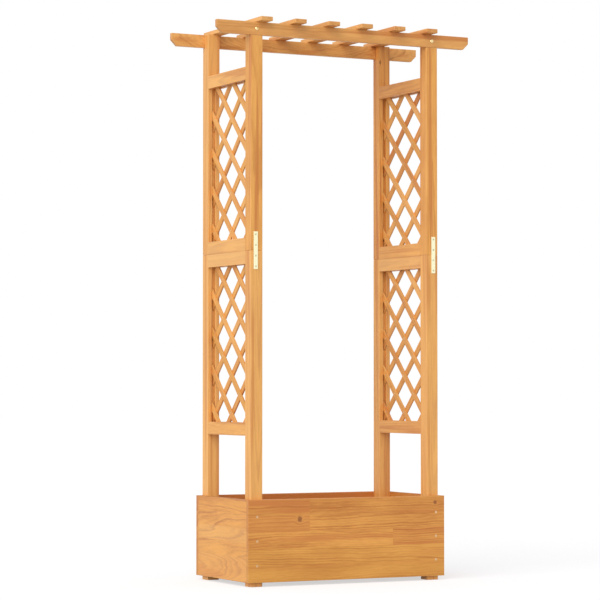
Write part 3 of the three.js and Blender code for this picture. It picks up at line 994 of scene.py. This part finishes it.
ZINC_PALE = (0.84, 0.60, 0.36)
ZINC_DEEP = (0.66, 0.43, 0.22)
BOARD_SCREW_HEAD = (0.0043, 0.003)
BOARD_SCREW_SHANK_RADIUS = 0.002
BOARD_SCREW_RECESS = (0.0046, 0.0012, 0.0016)
zinc = worn_metal("yellow zinc-plated steel", ZINC_PALE, ZINC_DEEP, 0.36)
board_screws = []
board_screw_places = []
for end, outward in FRONT_AND_REAR:
    for side in ("left", "right"):
        for row in (1, 2, 3):
            board_screws.append(f"{end}_{side}_screw_{row}")
            head_top, length = outer_face(board_screws[-1], outward)
            board_screw_places.append((head_top, outward))
board_screw_outline = countersunk_outline(BOARD_SCREW_HEAD, (BOARD_SCREW_SHANK_RADIUS, length))
drive_screws(
    "board_screws", board_screw_outline, board_screw_places, BOARD_SCREW_RECESS, zinc,
    board_screws,
)


# ---------------------------------------------------------------------------------------------------
# Roof beams. Two flat lengths of fir stand on edge in the notches of the post tops and reach past them
# at both ends, where the lower corner is sawn off at 45 degrees.

BEAM_PALE = (0.84, 0.425, 0.12)
BEAM_DEEP = (0.50, 0.195, 0.045)
BEAM_RING_WIDTH = 0.0056
beam_fir = glazed_fir(
    "glazed fir of the beams", BEAM_PALE, BEAM_DEEP, BEAM_RING_WIDTH,
    contrast=0.6, streaks=32.0, streaked=0.55,
)
beam_cuts = {
    "front_beam": {"tone": 0.1, "red": 0.25},
    "rear_beam": {"tone": 0.2, "red": 0.0, "heart_across": -0.028, "heart_through": 0.01, "dive": 0.2},
}
for beam, cut in beam_cuts.items():
    planed_timber(beam, "X", "Z", beam_fir, plank(beam, **cut))


# ---------------------------------------------------------------------------------------------------
# Beam screws. One round-headed screw of polished brass goes through each beam into each post top and
# holds the roof down. Its domed head stands on the face of the beam.

BEAM_HEAD_RADIUS = 0.0065
BEAM_HEAD_HEIGHT = 0.0035
BEAM_HEAD_RIM = 0.0009
BEAM_SHANK_RADIUS = 0.003
BEAM_SCREW_RECESS = (0.0062, 0.0015, 0.0017)
DOME_STEPS = 6
SCREW_BRASS_PALE = (0.96, 0.83, 0.48)
SCREW_BRASS_DEEP = (0.84, 0.66, 0.32)
screw_brass = worn_metal("polished brass", SCREW_BRASS_PALE, SCREW_BRASS_DEEP, 0.3)
beam_screws = []
beam_screw_places = []
for end, outward in FRONT_AND_REAR:
    for side in ("left", "right"):
        beam_screws.append(f"{end}_{side}_beam_screw")
        head_top, length = outer_face(beam_screws[-1], outward)
        beam_screw_places.append((head_top, outward))
beam_screw_outline = []
for step in range(DOME_STEPS + 1):
    around = math.pi / 2 * step / DOME_STEPS
    drop = (BEAM_HEAD_HEIGHT - BEAM_HEAD_RIM) * (1 - math.cos(around))
    beam_screw_outline.append((BEAM_HEAD_RADIUS * math.sin(around), -drop))
beam_screw_outline += [
    (BEAM_HEAD_RADIUS, -BEAM_HEAD_HEIGHT),
    (BEAM_SHANK_RADIUS, -BEAM_HEAD_HEIGHT),
    (BEAM_SHANK_RADIUS, SCREW_POINT - length),
    (0.0, -length),
]
drive_screws(
    "beam_screws", beam_screw_outline, beam_screw_places, BEAM_SCREW_RECESS, screw_brass,
    beam_screws,
)


# ---------------------------------------------------------------------------------------------------
# Roof slats. Six flat lengths of fir lie across the beams at an even pitch, with eased edges and ends.
# A countersunk screw of zinc-plated steel goes down through each into each beam.

SLAT_EASE = 0.0018
SLAT_SEED = 4
SLAT_HEARTS = ((-2.0, -0.015, 0.03), (2.0, 0.015, 0.07))
SLAT_LOOKS = ((0.0, -0.3, -0.2), (1.0, 0.8, 0.5))
SINK_RADIUS = 0.0044
SINK_DEPTH = 0.0032
SINK_SIDES = 24
SLAT_SCREW_SUNK = 0.0004
SLAT_SCREW_HEAD = (0.0041, 0.0028)
SLAT_SCREW_SHANK = (0.0019, 0.035)
SLAT_SCREW_RECESS = (0.0044, 0.0011, 0.0014)


def spaced_slats():
    """Countersinks one slat where it crosses the beams and lays copies at an even pitch."""
    tree, given = new_tree("spaced slats", {
        "Slats": "Int", "Pitch": "Float", "First": "Vector", "Beam Offset": "Float", "Slat Top": "Float",
        "Sink Radius": "Float", "Sink Depth": "Float", "Seed": "Int", "Finish": "Material",
    })

    # The cones are twice as wide and deep as the sinks and stand half out of the wood
    cone = add_node(tree, "GeometryNodeMeshCone", {
        "Vertices": SINK_SIDES, "Radius Top": reckon(tree, "MULTIPLY", given["Sink Radius"], 2.0),
        "Radius Bottom": 0.0, "Depth": reckon(tree, "MULTIPLY", given["Sink Depth"], 2.0),
    })
    bottom = reckon(tree, "SUBTRACT", given["Slat Top"], given["Sink Depth"])
    sinks = []
    for way in (-1.0, 1.0):
        aside = reckon(tree, "MULTIPLY", given["Beam Offset"], way)
        place = add_node(tree, "ShaderNodeCombineXYZ", {1: aside, 2: bottom}).outputs[0]
        sinks.append(moved(tree, cone.outputs["Mesh"], place))
    sunk = cut_out(tree, given["Geometry"], sinks)
    step = add_node(tree, "ShaderNodeCombineXYZ", {0: given["Pitch"]})
    row = add_node(tree, "GeometryNodeMeshLine", {"Count": given["Slats"], "Offset": step.outputs[0]})
    laid = add_node(tree, "GeometryNodeInstanceOnPoints", {"Points": row.outputs[0], "Instance": sunk})
    real = add_node(tree, "GeometryNodeRealizeInstances", {"Geometry": laid.outputs[0]})
    spot = point_places(tree)
    steps_along = reckon(tree, "DIVIDE", spot[0], given["Pitch"])
    copy = reckon(tree, "ROUND", steps_along)
    off_middle = reckon(tree, "MULTIPLY", reckon(tree, "SUBTRACT", steps_along, copy), given["Pitch"])
    on_slat = add_node(tree, "ShaderNodeCombineXYZ", {0: spot[1], 1: off_middle, 2: spot[2]})
    heart = draw_numbers(tree, SLAT_HEARTS, copy, given["Seed"])
    in_trunk = add_node(tree, "ShaderNodeVectorMath", {0: on_slat.outputs[0], 1: heart})
    slats = store(tree, real.outputs[0], "trunk", in_trunk.outputs[0])
    slats = store(tree, slats, "plank", draw_numbers(tree, SLAT_LOOKS, copy, given["Seed"]))
    close_tree(tree, moved(tree, slats, given["First"]), given["Finish"])
    return tree


slat_fir = glazed_fir("glazed fir of the slats", BEAM_PALE, BEAM_DEEP, BEAM_RING_WIDTH)
roof_slats = [f"roof_slat_{number}" for number in range(1, 7)]
first_low, first_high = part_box(roof_slats[0])
last_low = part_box(roof_slats[-1])[0]
slat_pitch = (last_low.x - first_low.x) / (len(roof_slats) - 1)
beam_low, beam_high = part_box("rear_beam")
beam_offset = (beam_low.y + beam_high.y) / 2
slat_size = first_high - first_low
blank = eased_bar("slat blank", slat_size, SLAT_EASE)
slats = run_tree(
    "roof_slats", spaced_slats(), blank, slats=len(roof_slats), pitch=slat_pitch,
    first=(first_low + first_high) / 2, beam_offset=beam_offset, slat_top=slat_size.z / 2,
    sink_radius=SINK_RADIUS, sink_depth=SINK_DEPTH, seed=SLAT_SEED, finish=slat_fir,
)
mark_end_grain(slats.data, "Y")
fix(slats, roof_slats)
slat_screw_places = []
for slat in roof_slats:
    low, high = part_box(slat)
    for way in (-1, 1):
        head_top = Vector(((low.x + high.x) / 2, way * beam_offset, high.z - SLAT_SCREW_SUNK))
        slat_screw_places.append((head_top, AXES["Z"]))
slat_screw_outline = countersunk_outline(SLAT_SCREW_HEAD, SLAT_SCREW_SHANK)
drive_screws("slat_screws", slat_screw_outline, slat_screw_places, SLAT_SCREW_RECESS, zinc)


# ---------------------------------------------------------------------------------------------------
# Studio. A plain white floor, one wide soft lamp from the front left and an even sky, seen through a long
# lens from the front left, a little above the trough.

EYE = (-4.0966, -7.8299, 0.6933)
EYE_TURN = math.radians(27.154)
EYE_TILT = math.radians(1.966)
LENS = 148.22

camera_data = bpy.data.cameras.new("camera")
camera_data.lens = LENS
camera = bpy.data.objects.new("camera", camera_data)
camera.location = EYE
camera.rotation_euler = (math.pi / 2 + EYE_TILT, 0.0, -EYE_TURN)
bpy.context.scene.collection.objects.link(camera)
bpy.context.scene.camera = camera

SKY = 0.6
LAMP = 2.2
LAMP_SPREAD = math.radians(60)
LAMP_WAY = Vector((-0.66, -0.50, 0.44))
lamp_data = bpy.data.lights.new("key", "SUN")
lamp_data.energy = LAMP
lamp_data.angle = LAMP_SPREAD
lamp = bpy.data.objects.new("key", lamp_data)
lamp.rotation_euler = LAMP_WAY.to_track_quat("Z", "Y").to_euler()
bpy.context.scene.collection.objects.link(lamp)

world = bpy.data.worlds.new("sky")
world.use_nodes = True
bpy.context.scene.world = world


def seen_directly(tree):
    """1 where the camera sees it, straight or in a shiny or clear surface, and 0 for its light."""
    rays = tree.nodes.new("ShaderNodeLightPath").outputs
    in_surfaces = reckon(tree, "MAXIMUM", rays["Is Glossy Ray"], rays["Is Transmission Ray"])
    return reckon(tree, "MAXIMUM", rays["Is Camera Ray"], in_surfaces)


background = world.node_tree.nodes["Background"]
background.inputs["Color"].default_value = (1, 1, 1, 1)
strength = add_node(world.node_tree, "ShaderNodeMix", {0: seen_directly(world.node_tree), 2: SKY, 3: 1.0})
world.node_tree.links.new(strength.outputs[0], background.inputs["Strength"])

FLOOR_BOUNCE = (0.62, 0.62, 0.62, 1)
FLOOR_SHOWN = (0.45, 0.45, 0.46, 1)
FLOOR_GLOW = 0.6
FLOOR_REACH = 40.0
floor_paint = bpy.data.materials.new("white floor")
floor_paint.use_nodes = True
tree = floor_paint.node_tree
tree.nodes.remove(tree.nodes["Principled BSDF"])
bounce = add_node(tree, "ShaderNodeBsdfDiffuse", {"Color": FLOOR_BOUNCE})
shown = add_node(tree, "ShaderNodeBsdfDiffuse", {"Color": FLOOR_SHOWN})
glow = add_node(tree, "ShaderNodeEmission", {"Color": (1, 1, 1, 1), "Strength": FLOOR_GLOW})
white = add_node(tree, "ShaderNodeAddShader", {0: shown.outputs[0], 1: glow.outputs[0]})
mixed = add_node(tree, "ShaderNodeMixShader", {
    0: seen_directly(tree), 1: bounce.outputs[0], 2: white.outputs[0],
})
tree.links.new(mixed.outputs[0], tree.nodes["Material Output"].inputs["Surface"])
floor_mesh = bpy.data.meshes.new("floor")
corners = [(x * FLOOR_REACH, y * FLOOR_REACH, 0) for x, y in ((-1, -1), (1, -1), (1, 1), (-1, 1))]
floor_mesh.from_pydata(corners, [], [(0, 1, 2, 3)])
floor_mesh.materials.append(floor_paint)
floor = bpy.data.objects.new("floor", floor_mesh)
bpy.context.scene.collection.objects.link(floor)

bpy.context.scene.view_settings.view_transform = "Standard"
